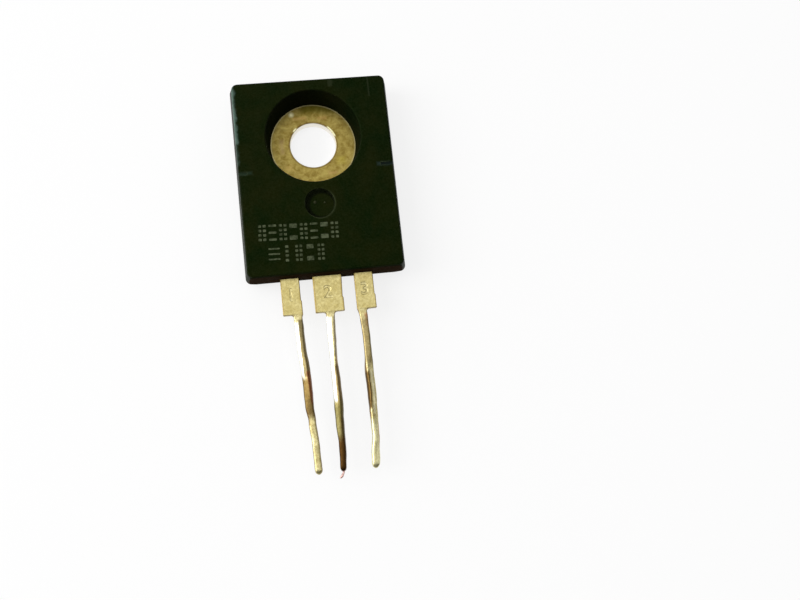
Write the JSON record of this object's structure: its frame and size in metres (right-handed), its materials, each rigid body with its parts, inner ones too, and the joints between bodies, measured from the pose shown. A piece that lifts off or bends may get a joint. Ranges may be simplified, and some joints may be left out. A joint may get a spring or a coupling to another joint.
{
  "type": "voltage regulator",
  "caption": "Flat moulded power package with a screw hole through its metal back and flat shouldered leads, for holding a supply at a steady voltage.",
  "frame": {"origin": "where the axis of the mounting hole meets the back face", "axes": "+Z out of the marked front along the mounting hole, +Y towards the hole end of the body, leads along -Y, input lead on the -X side"},
  "size_m": [0.0126, 0.0319, 0.0033],
  "materials": {
    "moulded_plastic": "matt dark olive black moulding compound",
    "spreader_metal": "dull brassy metal",
    "lead_metal": "pale brass with a plated sheen",
    "solder": "soft solder",
    "silicon": "polished silicon",
    "wire_metal": "drawn aluminium"
  },
  "bodies": {
    "root": {"housing": "moulded_plastic", "heat_spreader": "spreader_metal", "input_lead": "lead_metal", "ground_lead": "lead_metal", "output_lead": "lead_metal", "ground_solder": "solder", "die_solder": "solder", "regulator_die": "silicon", "input_wire": "wire_metal", "ground_wire": "wire_metal", "output_wire": "wire_metal"}
  },
  "joints": []
}
